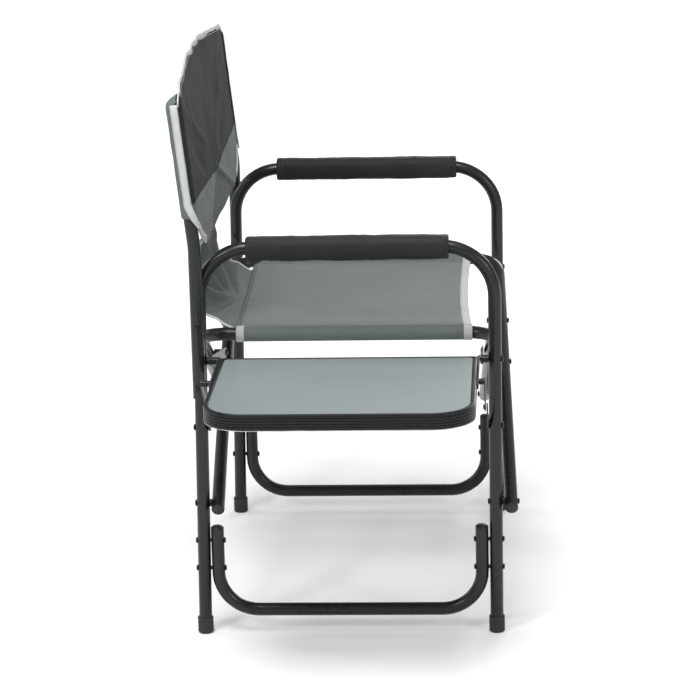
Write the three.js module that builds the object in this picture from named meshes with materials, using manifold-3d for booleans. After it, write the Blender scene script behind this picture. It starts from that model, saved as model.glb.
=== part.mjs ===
// A folding camp chair with a side table: two bent-tube side frames joined by two crossed U-shaped
// tubes, a fabric seat and back, padded arms, and a table that hangs from the right side frame.
// Millimetres, +X to the front, +Y to the sitter's left, +Z up. The origin is on the ground, under
// the middle of the chair's bounding box.
import * as THREE from 'three';
import { mergeVertices } from 'three/addons/utils/BufferGeometryUtils.js';
import Module from 'manifold-3d';

const wasm = await Module();
wasm.setup();

// ---- Driving dimensions ----

const TUBE_R = 9.75;
const TUBE_BORE_R = 8.9;
const TUBE_SIDES = 12;
const BORE_SIDES = 8;
const FIT = 0.35; // room round a pin
const CLEAR = 0.4; // room between faces that touch on the real chair

const FRAME_Y = 296; // middle plane of each side frame
const ARM_Z = 594;
const REAR_LEG_X = -220; // at the ground
const REAR_LEG_RAKE = 0.0162;
const FRONT_LEG_X = 220;
const FRONT_LEG_RAKE = 0.0033;
const ARM_BEND_R = 75;

const FOOT_R = 11.8;
const FOOT_H = 25;
const FOOT_FLOOR = 3;

const POST_Y = 316;
const POST_X = -213.9;
const POST_BOTTOM_Z = 375;
const POST_KINK_Z = 600;
const POST_TOP_Z = 806;
const POST_LEAN = 0.105;
const POST_RIVET_Z = [391, 485];

const BRACE_Z = 36;
const BRACE_TOP_Z = 165;
const BRACE_X = [-197.3, 199];
const BRACE_BEND_R = 60;

const FOLD_PIVOT_Z = 204.7;
const RAIL_Y = 241.5;
const RAIL_Z = 451;
const CROSS_BEND_R = 44;
const CROSS_TAIL = 15; // tube past the fold pivot
const CROSS_SLANT = 20; // how far a crossed tube's legs run back or forward on the way to its rail
const CROSS_GAP = 3; // between a leg and the crossed tube beside it

const HINGE_Z = 424; // pins of the links and of the table
const LINK_PIN_R = 103; // centre pivot to link pin
const LINK_W = 16;
const BAR_T = 2;

const STAY_W = 12;
const STAY_LEG_Z = 322.5;
const STAY_TABLE_Y = 126; // table hinge to the stay's pin under the table
const STAY_LOWER_L = 68.7;

const TABLE_X = [-183.5, 196.4];
const TABLE_BACK_Y = -6;
const TABLE_OUTER_Y = -314;
const TABLE_TOP_Z = 6;
const TABLE_T = 23.5;
const TABLE_CORNER_R = 62;
const TABLE_RIM = 7;
const BOARD_T = 10;
const BRACKET_L = 146;

const PIN_R = 3;
const PIN_SIDES = 8;
const HEAD_R = 5;
const SMALL_HEAD_R = 4.4;
const HEAD_H = 2.4;
const COLLAR_R = 5.6;
const SMALL_COLLAR_R = 4.4;

const PAD_X = [-135, 154];
const PAD_W = 33;
const PAD_TOP = 16;
const PAD_BOTTOM = -19;
const PAD_CORNER_R = 14;
const PAD_BORE_R = 11.3;

const SEAT_X = [-166, 177];
const SEAT_SLEEVE_R = 12.5;
const SEAT_BORE_R = 11;
const SEAT_T = 2.5;
const SEAT_SAG = 7;

const FLAP_HALF_W = 185;
const FLAP_T = 2.5;

const BACK_SLEEVE_R = 12;
const BACK_BORE_R = 10.4;
const BACK_SLEEVE_SIDES = 16;
const BACK_SLEEVE_Z = [46, 219]; // up the leaning post from its kink
const BACK_HALF_W = 305.6;
const BACK_ARCH = 36;
const BACK_FORWARD = 2.75;
const BACK_T = 2.5;

// ---- Worked out from the dimensions ----

const CROSS_L = Math.hypot(FRAME_Y + RAIL_Y, RAIL_Z - FOLD_PIVOT_Z);
const CROSS_DY = (FRAME_Y + RAIL_Y) / CROSS_L;
const CROSS_DZ = (RAIL_Z - FOLD_PIVOT_Z) / CROSS_L;
const CENTRE_S = FRAME_Y / CROSS_DY; // fold pivot to centre pivot
const CROSS_STEP = 2 * TUBE_R + CROSS_GAP;

const rearLegX = (z) => REAR_LEG_X + REAR_LEG_RAKE * z;
const frontLegX = (z) => FRONT_LEG_X + FRONT_LEG_RAKE * z;

// A crossed tube's place along X, at distance s from its fold pivot. It starts one step forward (+1)
// or back (-1) of the side frame's leg and slants the other way towards its rail.
const crossedX = (legX, s, way) => legX(FOLD_PIVOT_Z) + way * (CROSS_STEP - (CROSS_SLANT * s) / CROSS_L);

// ---- Materials ----

const paint = (color, roughness, metalness) => new THREE.MeshStandardMaterial({ color, roughness, metalness });
const blackPaint = paint(0x25282a, 0.42, 0.3);
const blackSteel = paint(0x2c2f31, 0.4, 0.6);
const rivetSteel = paint(0x6f7275, 0.35, 0.9);
const blackPlastic = paint(0x1d1f20, 0.6, 0);
const footRubber = paint(0x191b1c, 0.85, 0);
const padFabric = paint(0x222427, 0.85, 0);
const seatFabric = paint(0x4b5052, 0.9, 0);
const backFabric = paint(0x3c4042, 0.85, 0);
const tableTop = paint(0x78828b, 0.45, 0.1);
const tableEdge = paint(0x303335, 0.5, 0);

// ---- Solids ----

function add(name, geometry, look, parent) {
  const mesh = new THREE.Mesh(geometry, look);
  mesh.name = name;
  parent.add(mesh);
  return mesh;
}

function solid(geometry) {
  const bare = geometry.index ? geometry.toNonIndexed() : geometry.clone();
  bare.deleteAttribute('normal');
  bare.deleteAttribute('uv');
  const merged = mergeVertices(bare, 1e-3);
  const vertProperties = new Float32Array(merged.attributes.position.array);
  const triVerts = new Uint32Array(merged.index.array);
  return new wasm.Manifold(new wasm.Mesh({ numProp: 3, vertProperties, triVerts }));
}

function geometryOf(manifold) {
  const made = manifold.getMesh();
  const indexed = new THREE.BufferGeometry();
  indexed.setAttribute('position', new THREE.BufferAttribute(new Float32Array(made.vertProperties), 3));
  indexed.setIndex(new THREE.BufferAttribute(new Uint32Array(made.triVerts), 1));
  const flat = indexed.toNonIndexed();
  flat.computeVertexNormals();
  return flat;
}

function cut(geometry, cutters) {
  return geometryOf(cutters.reduce((left, cutter) => left.subtract(solid(cutter)), solid(geometry)));
}

function join(geometries) {
  return geometryOf(geometries.map(solid).reduce((all, one) => all.add(one)));
}

// Straight runs joined by arcs, with a station at the ends of each run and a few round each arc.
class BentPath extends THREE.Curve {
  constructor(corners, bendRadius, arcSteps) {
    super();
    this.stations = [];
    this.directions = [];
    const last = corners.length - 1;
    this.addStation(corners[0], corners[1].clone().sub(corners[0]).normalize());
    for (let i = 1; i < last; i += 1) this.addBend(corners, i, bendRadius, arcSteps);
    this.addStation(corners[last], corners[last].clone().sub(corners[last - 1]).normalize());
  }

  addStation(point, direction) {
    this.stations.push(point.clone());
    this.directions.push(direction);
  }

  addBend(corners, i, bendRadius, arcSteps) {
    const into = corners[i].clone().sub(corners[i - 1]).normalize();
    const out = corners[i + 1].clone().sub(corners[i]).normalize();
    const turn = into.angleTo(out);
    const axis = into.clone().cross(out).normalize();
    const start = corners[i].clone().addScaledVector(into, -bendRadius * Math.tan(turn / 2));
    const centre = start.clone().addScaledVector(axis.clone().cross(into), bendRadius);
    for (let k = 0; k <= arcSteps; k += 1) {
      const angle = (turn * k) / arcSteps;
      const spoke = start.clone().sub(centre).applyAxisAngle(axis, angle);
      this.addStation(centre.clone().add(spoke), into.clone().applyAxisAngle(axis, angle));
    }
  }

  get steps() {
    return this.stations.length - 1;
  }

  getPoint(t) {
    return this.stations[Math.round(t * this.steps)].clone();
  }

  getPointAt(t) {
    return this.getPoint(t);
  }

  getTangentAt(t) {
    return this.directions[Math.round(t * this.steps)].clone();
  }
}

function circle(radius, sides, x = 0) {
  const points = [];
  for (let i = 0; i < sides; i += 1) {
    const angle = (2 * Math.PI * i) / sides;
    points.push(new THREE.Vector2(x + radius * Math.cos(angle), radius * Math.sin(angle)));
  }
  return points;
}

function hole(radius, sides, x = 0) {
  return new THREE.Path(circle(radius, sides, x).reverse());
}

function tube(corners, bendRadius, arcSteps) {
  const path = new BentPath(corners, bendRadius, arcSteps);
  const ring = new THREE.Shape(circle(TUBE_R, TUBE_SIDES));
  ring.holes.push(hole(TUBE_BORE_R, BORE_SIDES));
  return new THREE.ExtrudeGeometry(ring, { extrudePath: path, steps: path.steps, bevelEnabled: false });
}

// A drawing in the YZ plane extruded along X.
function alongX(shape, from, to, curveSegments = 5) {
  const geometry = new THREE.ExtrudeGeometry(shape, { depth: to - from, bevelEnabled: false, curveSegments });
  const yzToX = new THREE.Matrix4().makeBasis(
    new THREE.Vector3(0, 1, 0), new THREE.Vector3(0, 0, 1), new THREE.Vector3(1, 0, 0));
  return geometry.applyMatrix4(yzToX).translate(from, 0, 0);
}

// A pin hole through a tube, along X or along Y.
function pinHole(axis, x, y, z) {
  const drill = new THREE.CylinderGeometry(PIN_R + FIT, PIN_R + FIT, 4 * TUBE_R, PIN_SIDES);
  if (axis === 'x') drill.rotateZ(-Math.PI / 2);
  return drill.translate(x, y, z);
}

// A turned pin along X or Y. Each end has a head, or none when its head radius is 0; collars are
// [from, to, radius].
function pin(axis, from, to, heads, collars = []) {
  const rings = [];
  if (heads[0]) rings.push([heads[0] * 0.65, from - HEAD_H], [heads[0], from]);
  rings.push([PIN_R, from]);
  collars.filter(([a, b]) => b - a > 1).sort((a, b) => a[0] - b[0]).forEach(([a, b, radius]) => {
    rings.push([PIN_R, a], [radius, a], [radius, b], [PIN_R, b]);
  });
  rings.push([PIN_R, to]);
  if (heads[1]) rings.push([heads[1], to], [heads[1] * 0.65, to + HEAD_H]);
  const profile = [[0, rings[0][1]], ...rings, [0, rings[rings.length - 1][1]]];
  const geometry = new THREE.LatheGeometry(profile.map(([r, d]) => new THREE.Vector2(r, d)), PIN_SIDES);
  return axis === 'x' ? geometry.rotateZ(-Math.PI / 2) : geometry;
}

// A pin along X given from its outer end to its inner end, on the front (+1) or rear (-1) legs.
function legPin(out, outer, inner, outerHead, innerHead, collars) {
  const spans = collars.map(([a, b, radius]) => [Math.min(a, b), Math.max(a, b), radius]);
  return out > 0
    ? pin('x', inner, outer, [innerHead, outerHead], spans)
    : pin('x', outer, inner, [outerHead, innerHead], spans);
}

// A flat bar with round ends, lying along +Y from its pivot, its thickness centred on x = 0.
function bar(length, width, holes) {
  const shape = new THREE.Shape();
  shape.absarc(0, 0, width / 2, Math.PI / 2, 1.5 * Math.PI, false);
  shape.absarc(length, 0, width / 2, -Math.PI / 2, Math.PI / 2, false);
  holes.forEach((at) => shape.holes.push(hole(PIN_R + FIT, PIN_SIDES, at)));
  return alongX(shape, -BAR_T / 2, BAR_T / 2);
}

function domedCap(radius, height) {
  const profile = [[0, 0], [radius, 0], [radius * 0.9, height * 0.45], [radius * 0.55, height * 0.85], [0, height]];
  return new THREE.LatheGeometry(profile.map(([r, z]) => new THREE.Vector2(r, z)), TUBE_SIDES);
}

// ---- The assembly ----

const chair = new THREE.Group();
const table = new THREE.Group();
table.position.set(0, -FRAME_Y, HINGE_Z);
chair.add(table);

const SIDES = [
  { side: 'right', y: -1 },
  { side: 'left', y: 1 },
];
const ENDS = [
  {
    end: 'rear', out: -1, legX: rearLegX, linkX: { right: -196.8, left: -196.8 },
    bracketX: -185, lowerX: -202, upperX: -199.4,
  },
  {
    end: 'front', out: 1, legX: frontLegX, linkX: { right: 200.8, left: 208.5 },
    bracketX: 197.9, lowerX: 209.8, upperX: 207.2,
  },
];

function addSideTube({ side, y }) {
  const at = (legX, z) => new THREE.Vector3(legX(z), y * FRAME_Y, z);
  const bottom = FOOT_FLOOR + CLEAR;
  const corners = [at(rearLegX, bottom), at(rearLegX, ARM_Z), at(frontLegX, ARM_Z), at(frontLegX, bottom)];
  const pins = side === 'right' ? [FOLD_PIVOT_Z, STAY_LEG_Z, HINGE_Z] : [FOLD_PIVOT_Z, HINGE_Z];
  const drills = ENDS.flatMap(({ legX }) => pins.map((z) => pinHole('x', legX(z), y * FRAME_Y, z)));
  POST_RIVET_Z.forEach((z) => drills.push(pinHole('y', postRivetX(z), y * FRAME_Y, z)));
  add(`${side}_side_tube`, cut(tube(corners, ARM_BEND_R, 6), drills), blackPaint, chair);
}

function postRivetX(z) {
  return (rearLegX(z) + POST_X) / 2;
}

function addFeet({ side, y }) {
  const cavity = TUBE_R + 0.8;
  const profile = [[0, 0], [FOOT_R - 1.5, 0], [FOOT_R, 2], [FOOT_R, FOOT_H], [cavity, FOOT_H],
    [cavity, FOOT_FLOOR], [0, FOOT_FLOOR]].map(([r, z]) => new THREE.Vector2(r, z));
  ENDS.forEach(({ end, legX }) => {
    const cup = new THREE.LatheGeometry(profile, TUBE_SIDES).rotateX(Math.PI / 2);
    add(`${side}_${end}_foot`, cup, footRubber, chair).position.set(legX(FOOT_H / 2), y * FRAME_Y, 0);
  });
}

function addBackPost({ side, y }) {
  const topX = POST_X - POST_LEAN * (POST_TOP_Z - POST_KINK_Z);
  const corners = [[POST_X, POST_BOTTOM_Z], [POST_X, POST_KINK_Z], [topX, POST_TOP_Z]]
    .map(([x, z]) => new THREE.Vector3(x, y * POST_Y, z));
  const drills = POST_RIVET_Z.map((z) => pinHole('y', postRivetX(z), y * POST_Y, z));
  add(`${side}_back_post`, cut(tube(corners, 150, 3), drills), blackPaint, chair);
  const cap = add(`${side}_post_cap`, domedCap(TUBE_R, 5), blackPlastic, chair);
  cap.geometry.rotateX(Math.PI / 2).translate(0, 0, CLEAR);
  cap.position.copy(corners[2]);
  cap.rotation.y = -Math.atan(POST_LEAN);
}

function addPostRivets({ side, y }) {
  const ends = [y * (FRAME_Y - TUBE_R - CLEAR), y * (POST_Y + TUBE_R + CLEAR)].sort((a, b) => a - b);
  POST_RIVET_Z.forEach((z, i) => {
    const rivet = pin('y', ends[0], ends[1], [HEAD_R, HEAD_R]);
    add(`${side}_post_rivet_${i + 1}`, rivet, rivetSteel, chair).position.set(postRivetX(z), 0, z);
  });
}

function addLowerBrace({ side, y }) {
  const corners = [[BRACE_X[0], BRACE_TOP_Z], [BRACE_X[0], BRACE_Z], [BRACE_X[1], BRACE_Z],
    [BRACE_X[1], BRACE_TOP_Z]].map(([x, z]) => new THREE.Vector3(x, y * FRAME_Y, z));
  add(`${side}_lower_brace`, tube(corners, BRACE_BEND_R, 5), blackPaint, chair);
}

// One U-shaped crossed tube, with its fold pivots on the right (y = -1) or on the left (y = 1).
function addCrossedTube(name, y) {
  const at = (legX, s) => new THREE.Vector3(
    crossedX(legX, s, -y), y * (FRAME_Y - CROSS_DY * s), FOLD_PIVOT_Z + CROSS_DZ * s);
  const corners = [at(rearLegX, -CROSS_TAIL), at(rearLegX, CROSS_L), at(frontLegX, CROSS_L),
    at(frontLegX, -CROSS_TAIL)];
  const spots = ENDS.flatMap(({ legX }) => [at(legX, 0), at(legX, CENTRE_S)]);
  const drills = spots.map((spot) => pinHole('x', spot.x, spot.y, spot.z));
  add(`crossed_tube_${name}`, cut(tube(corners, CROSS_BEND_R, 5), drills), blackPaint, chair);
  const down = new THREE.Vector3(0, y * CROSS_DY, -CROSS_DZ);
  ENDS.forEach(({ end, legX }) => {
    const plug = add(`tube_${name}_${end}_plug`, domedCap(TUBE_R, 4.4), blackPlastic, chair);
    plug.position.copy(at(legX, -CROSS_TAIL)).addScaledVector(down, CLEAR);
    plug.quaternion.setFromUnitVectors(new THREE.Vector3(0, 1, 0), down);
  });
}

// A pin through two tubes side by side, with a spacer between them. The right rear fold pin ends
// flush on its front side, where the lowered table passes close by.
function tubePairPin(xs, flush) {
  const [low, high] = [...xs].sort((a, b) => a - b);
  const reach = TUBE_R + CLEAR;
  const end = flush ? high + TUBE_R - CLEAR : high + reach;
  return pin('x', low - reach, end, [HEAD_R, flush ? 0 : HEAD_R], [[low + reach, high - reach, COLLAR_R]]);
}

function addFoldPins({ side, y }) {
  ENDS.forEach(({ end, legX }) => {
    const flush = side === 'right' && end === 'rear';
    const made = tubePairPin([legX(FOLD_PIVOT_Z), crossedX(legX, 0, -y)], flush);
    add(`${side}_${end}_fold_pin`, made, rivetSteel, chair).position.set(0, y * FRAME_Y, FOLD_PIVOT_Z);
  });
}

function addCentrePins() {
  ENDS.forEach(({ end, legX }) => {
    const made = tubePairPin([crossedX(legX, CENTRE_S, -1), crossedX(legX, CENTRE_S, 1)], false);
    add(`${end}_centre_pin`, made, rivetSteel, chair).position.set(0, 0, FOLD_PIVOT_Z + CROSS_DZ * CENTRE_S);
  });
}

// The hinge pin of a link; on the right side it carries the table's bracket too.
function addHingePin({ side, y }, { end, out, legX, linkX, bracketX }) {
  const reach = out * (TUBE_R + CLEAR);
  const half = out * (BAR_T / 2 + FIT);
  const leg = legX(HINGE_Z);
  const barX = linkX[side];
  const collars = [[leg - reach, barX + half, COLLAR_R]];
  if (side === 'right') collars.push([barX - half, bracketX + half, COLLAR_R]);
  const inner = (side === 'right' ? bracketX : barX) - half;
  const made = legPin(out, leg + reach, inner, HEAD_R, SMALL_HEAD_R, collars);
  add(`${side}_${end}_hinge_pin`, made, rivetSteel, chair).position.set(0, y * FRAME_Y, HINGE_Z);
}

// The flat bars from the side frames to the crossed tubes, and the rivets in their free ends.
function addLink({ side, y }, { end, out, legX, linkX }) {
  const barX = linkX[side];
  const tip = new THREE.Vector2(y * LINK_PIN_R * CROSS_DY, FOLD_PIVOT_Z + (CENTRE_S + LINK_PIN_R) * CROSS_DZ);
  const run = tip.clone().sub(new THREE.Vector2(y * FRAME_Y, HINGE_Z));
  const link = add(`${side}_${end}_link`, bar(run.length(), LINK_W, [0, run.length()]), blackSteel, chair);
  link.position.set(barX, y * FRAME_Y, HINGE_Z);
  link.rotation.x = Math.atan2(run.y, run.x);
  const half = out * (BAR_T / 2 + FIT);
  const tubeFace = crossedX(legX, CENTRE_S + LINK_PIN_R, y) - out * (TUBE_R + 2);
  const spaced = out * (tubeFace - barX) > BAR_T;
  const outer = spaced ? tubeFace : barX + out * (BAR_T / 2 - 0.1);
  const collars = spaced ? [[barX + half, tubeFace, COLLAR_R]] : [];
  const rivet = legPin(out, outer, barX - half, 0, HEAD_R, collars);
  add(`${side}_${end}_link_rivet`, rivet, rivetSteel, chair).position.set(0, tip.x, tip.y);
}

function addArmPad({ side, y }) {
  const [w, r] = [PAD_W / 2, PAD_CORNER_R];
  const outline = new THREE.Shape();
  outline.absarc(w - r, PAD_TOP - r, r, 0, 0.5 * Math.PI, false);
  outline.absarc(r - w, PAD_TOP - r, r, 0.5 * Math.PI, Math.PI, false);
  outline.absarc(r - w, PAD_BOTTOM + r, r, Math.PI, 1.5 * Math.PI, false);
  outline.absarc(w - r, PAD_BOTTOM + r, r, 1.5 * Math.PI, 2 * Math.PI, false);
  outline.holes.push(hole(PAD_BORE_R, TUBE_SIDES));
  const pad = alongX(outline, PAD_X[0], PAD_X[1], 4);
  add(`${side}_arm_pad`, pad, padFabric, chair).position.set(0, y * FRAME_Y, ARM_Z);
}

// The table's outline from above, square along the hinge and round at the two outer corners.
function tableOutline(inset) {
  const [rear, front] = [TABLE_X[0] + inset, TABLE_X[1] - inset];
  const [back, outer] = [TABLE_BACK_Y - inset, TABLE_OUTER_Y + inset];
  const r = TABLE_CORNER_R - inset;
  const shape = new THREE.Shape();
  shape.moveTo(rear, back);
  shape.lineTo(rear, outer + r);
  shape.absarc(rear + r, outer + r, r, Math.PI, 1.5 * Math.PI, false);
  shape.absarc(front - r, outer + r, r, 1.5 * Math.PI, 2 * Math.PI, false);
  shape.lineTo(front, back);
  return shape;
}

function addTableTop() {
  const flat = { bevelEnabled: false, curveSegments: 7 };
  const board = new THREE.ExtrudeGeometry(tableOutline(TABLE_RIM + FIT), { ...flat, depth: BOARD_T });
  add('table_board', board, tableTop, table).position.z = TABLE_TOP_Z - BOARD_T - 0.6;
  const rim = tableOutline(0);
  rim.holes.push(new THREE.Path(tableOutline(TABLE_RIM).getPoints(7).reverse()));
  const edging = new THREE.ExtrudeGeometry(rim, { ...flat, depth: TABLE_T });
  add('table_edging', edging, tableEdge, table).position.z = TABLE_TOP_Z - TABLE_T;
}

function addTableBracket({ end, bracketX }) {
  const bracket = add(`table_${end}_bracket`, bar(BRACKET_L, STAY_W, [0, STAY_TABLE_Y]), blackSteel, table);
  bracket.position.x = bracketX;
  bracket.rotation.x = Math.PI;
}

// A two-part stay under the table, straight while the table is up. It folds upwards, beside the leg.
function addStay({ end, lowerX, upperX }) {
  const rise = HINGE_Z - STAY_LEG_Z;
  const angle = Math.atan2(rise, -STAY_TABLE_Y);
  const upperL = Math.hypot(STAY_TABLE_Y, rise) - STAY_LOWER_L;
  const lower = add(`${end}_stay_lower`, bar(STAY_LOWER_L, STAY_W, [0]), blackSteel, chair);
  lower.position.set(lowerX, -FRAME_Y, STAY_LEG_Z);
  lower.rotation.x = angle;
  const upper = add(`${end}_stay_upper`, bar(upperL, STAY_W, [0, upperL]), blackSteel, chair);
  upper.position.set(upperX, -FRAME_Y - STAY_TABLE_Y, HINGE_Z);
  upper.rotation.x = angle + Math.PI;
}

function addStayPins({ end, out, legX, lowerX, upperX, bracketX }) {
  const half = out * (BAR_T / 2 + FIT);
  const flush = out * (BAR_T / 2 - 0.1);
  const reach = out * (TUBE_R + CLEAR);
  const leg = legX(STAY_LEG_Z);
  const atLeg = legPin(out, leg + reach, lowerX - flush, HEAD_R, 0, [[leg - reach, lowerX + half, COLLAR_R]]);
  add(`${end}_stay_leg_pin`, atLeg, rivetSteel, chair).position.set(0, -FRAME_Y, STAY_LEG_Z);
  const underTable = legPin(out, upperX + flush, bracketX - flush, 0, 0,
    [[upperX - half, bracketX + half, SMALL_COLLAR_R]]);
  add(`${end}_stay_table_pin`, underTable, rivetSteel, chair).position.set(0, -FRAME_Y - STAY_TABLE_Y, HINGE_Z);
  const angle = Math.atan2(HINGE_Z - STAY_LEG_Z, -STAY_TABLE_Y);
  const knuckle = legPin(out, upperX + flush, upperX - half, 0, SMALL_HEAD_R, []);
  add(`${end}_stay_knuckle`, knuckle, rivetSteel, chair).position.set(
    0, STAY_LOWER_L * Math.cos(angle) - FRAME_Y, STAY_LOWER_L * Math.sin(angle) + STAY_LEG_Z);
}

// A sleeve on each rail with one sheet between them that sags a little in the middle.
function addSeat() {
  const sag = (y) => SEAT_SAG * (1 - (y / RAIL_Y) ** 2);
  const underside = SEAT_SLEEVE_R - SEAT_T;
  const joinAngle = Math.asin((underside - 0.5) / SEAT_SLEEVE_R);
  const joinY = RAIL_Y - SEAT_SLEEVE_R * Math.cos(joinAngle);
  const sheet = (z, from, to) => {
    const ys = Array.from({ length: 9 }, (_, i) => from + ((to - from) * i) / 8);
    return ys.map((y) => new THREE.Vector2(y, z - sag(y)));
  };
  const ring = (y, from, to) => {
    const angles = Array.from({ length: 10 }, (_, i) => from + ((to - from) * (i + 1)) / 11);
    return angles.map((a) => new THREE.Vector2(y + SEAT_SLEEVE_R * Math.cos(a), SEAT_SLEEVE_R * Math.sin(a)));
  };
  const shape = new THREE.Shape([
    ...sheet(SEAT_SLEEVE_R, RAIL_Y, -RAIL_Y),
    ...ring(-RAIL_Y, 0.5 * Math.PI, 2 * Math.PI + joinAngle),
    ...sheet(underside, -joinY, joinY),
    ...ring(RAIL_Y, Math.PI - joinAngle, 2.5 * Math.PI),
  ]);
  shape.holes.push(hole(SEAT_BORE_R, TUBE_SIDES, RAIL_Y), hole(SEAT_BORE_R, TUBE_SIDES, -RAIL_Y));
  add('seat_fabric', alongX(shape, SEAT_X[0], SEAT_X[1]), seatFabric, chair).position.z = RAIL_Z;
}

// The cloth that turns up behind the seat's rear edge and hangs the seat from the back.
function addSeatBackFlap() {
  const line = [[-167.5, 457], [-190, 459], [-212, 468], [-230, 488], [-238, 515], [-233, 545], [-216, 583]];
  const points = line.map(([x, z]) => new THREE.Vector2(x, z));
  const normals = points.map((point, i) => {
    const before = points[Math.max(i - 1, 0)];
    const after = points[Math.min(i + 1, points.length - 1)];
    const along = after.clone().sub(before).normalize();
    return new THREE.Vector2(-along.y, along.x);
  });
  const offset = (amount) => points.map((point, i) => point.clone().addScaledVector(normals[i], amount));
  const shape = new THREE.Shape([...offset(FLAP_T / 2), ...offset(-FLAP_T / 2).reverse()]);
  const flap = new THREE.ExtrudeGeometry(shape, { depth: 2 * FLAP_HALF_W, bevelEnabled: false });
  flap.rotateX(Math.PI / 2).translate(0, FLAP_HALF_W, 0);
  add('seat_back_flap', flap, seatFabric, chair);
}

// The back's sheet, drawn square to the leaning posts: arched on top, with a narrower tail below.
function backSheet() {
  const [low, high] = BACK_SLEEVE_Z;
  const tail = [[-BACK_HALF_W, low], [-250, 3], [-190, -12], [190, -12], [250, 3], [BACK_HALF_W, low]];
  const arch = Array.from({ length: 13 }, (_, i) => {
    const across = 1 - i / 6;
    return [BACK_HALF_W * across, high + BACK_ARCH * (1 - across ** 2)];
  });
  const shape = new THREE.Shape([...tail, ...arch].map(([y, z]) => new THREE.Vector2(y, z)));
  return alongX(shape, BACK_FORWARD, BACK_FORWARD + BACK_T);
}

function addBack() {
  const [low, high] = BACK_SLEEVE_Z;
  const sleeves = SIDES.map(({ y }) => {
    const ring = new THREE.Shape(circle(BACK_SLEEVE_R, BACK_SLEEVE_SIDES));
    ring.holes.push(hole(BACK_BORE_R, BACK_SLEEVE_SIDES));
    const sleeve = new THREE.ExtrudeGeometry(ring, { depth: high - low, bevelEnabled: false });
    return sleeve.translate(0, y * POST_Y, low);
  });
  const back = add('back_fabric', join([backSheet(), ...sleeves]), backFabric, chair);
  back.position.set(POST_X, 0, POST_KINK_Z);
  back.rotation.y = -Math.atan(POST_LEAN);
}

SIDES.forEach((place) => {
  addSideTube(place);
  addFeet(place);
  addBackPost(place);
  addPostRivets(place);
  addLowerBrace(place);
  addFoldPins(place);
  addArmPad(place);
  ENDS.forEach((end) => {
    addHingePin(place, end);
    addLink(place, end);
  });
});
addCrossedTube('a', -1);
addCrossedTube('b', 1);
addCentrePins();
addTableTop();
ENDS.forEach((end) => {
  addTableBracket(end);
  addStay(end);
  addStayPins(end);
});
addSeat();
addSeatBackFlap();
addBack();

// Centre the bounding box over the origin, with the feet on the ground.
chair.updateMatrixWorld(true);
const bounds = new THREE.Box3().setFromObject(chair, true);
const middle = bounds.getCenter(new THREE.Vector3());
chair.position.set(-middle.x, -middle.y, -bounds.min.z);

export default chair;
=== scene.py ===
"""Looks for the folding camp chair: smooth tubes, cloth with its seams, padded arms and the side table."""

import math

import bmesh
import bpy
import numpy as np
from mathutils import Matrix, Quaternion, Vector, noise


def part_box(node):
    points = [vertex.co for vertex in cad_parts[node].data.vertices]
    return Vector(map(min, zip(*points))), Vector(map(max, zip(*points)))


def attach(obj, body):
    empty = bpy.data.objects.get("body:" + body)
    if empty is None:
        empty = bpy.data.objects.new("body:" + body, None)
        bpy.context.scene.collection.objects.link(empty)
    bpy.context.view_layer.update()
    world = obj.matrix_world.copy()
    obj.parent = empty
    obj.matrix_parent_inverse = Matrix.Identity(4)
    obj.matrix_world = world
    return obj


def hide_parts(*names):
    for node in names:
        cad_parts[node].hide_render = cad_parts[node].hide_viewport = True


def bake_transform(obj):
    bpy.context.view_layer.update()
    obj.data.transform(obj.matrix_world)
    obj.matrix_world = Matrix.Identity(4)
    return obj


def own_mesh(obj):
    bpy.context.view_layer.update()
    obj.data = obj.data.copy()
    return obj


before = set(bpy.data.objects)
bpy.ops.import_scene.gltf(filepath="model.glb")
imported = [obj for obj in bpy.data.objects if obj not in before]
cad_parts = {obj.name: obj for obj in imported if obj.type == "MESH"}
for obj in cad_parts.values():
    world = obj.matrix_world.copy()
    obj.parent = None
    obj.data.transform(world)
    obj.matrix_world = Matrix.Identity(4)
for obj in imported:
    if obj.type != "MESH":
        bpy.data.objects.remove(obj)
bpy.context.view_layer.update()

# ---- Where the chair stands: lengths below are the part's own, in millimetres ----

side_lo, side_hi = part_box("right_side_tube")
foot_lo, foot_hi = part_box("right_front_foot")
FRAME_Y = 296.0
FRONT_FOOT_X = 220.04
OFFSET = Vector((
    (foot_lo.x + foot_hi.x) / 2 - FRONT_FOOT_X / 1000,
    (side_lo.y + side_hi.y) / 2 + FRAME_Y / 1000,
    0.0,
))

TUBE_R = 9.75
TUBE_END_Z = 3.4
ARM_Z = 594.0
ARM_BEND_R = 75
POST_Y = 316.0
POST_X = -213.9
POST_LEAN = 0.105  # how far a post runs back for each millimetre it rises above its bend
POST_END_Z, POST_BEND_Z, POST_TOP_Z = 375, 600, 806
POST_BEND_R = 150
POST_RIVET_Z = (391, 485)
BRACE_X = {"rear": -197.3, "front": 199}
BRACE_Z, BRACE_TOP_Z = 36, 165
BRACE_BEND_R = 60
BRACE_RIVET_Z = (102.5, 146)
FOLD_Z = 204.7
RAIL_Y = 241.5
RAIL_Z = 451.0
HINGE_Z = 424.0
CROSS_BEND_R = 44
CROSS_TAIL = 15  # tube past the fold pivot
CROSS_SLANT = 20
CROSS_GAP = 3
CROSS_L = math.hypot(FRAME_Y + RAIL_Y, RAIL_Z - FOLD_Z)
CROSS_DY = (FRAME_Y + RAIL_Y) / CROSS_L
CROSS_DZ = (RAIL_Z - FOLD_Z) / CROSS_L
CENTRE_S = FRAME_Y / CROSS_DY  # from the fold pivot to the centre pin, along a crossed tube
LINK_PIN_S = CENTRE_S + 103
LINK_X = {"rear": {"right": -196.8, "left": -196.8}, "front": {"right": 200.8, "left": 208.5}}
BRACKET_X = {"rear": -185, "front": 197.9}
STAY_Z = 322.5
STAY_REACH = 126  # from the legs out to the stays' pins on the table
STAY_LOWER_L = 68.7
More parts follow.
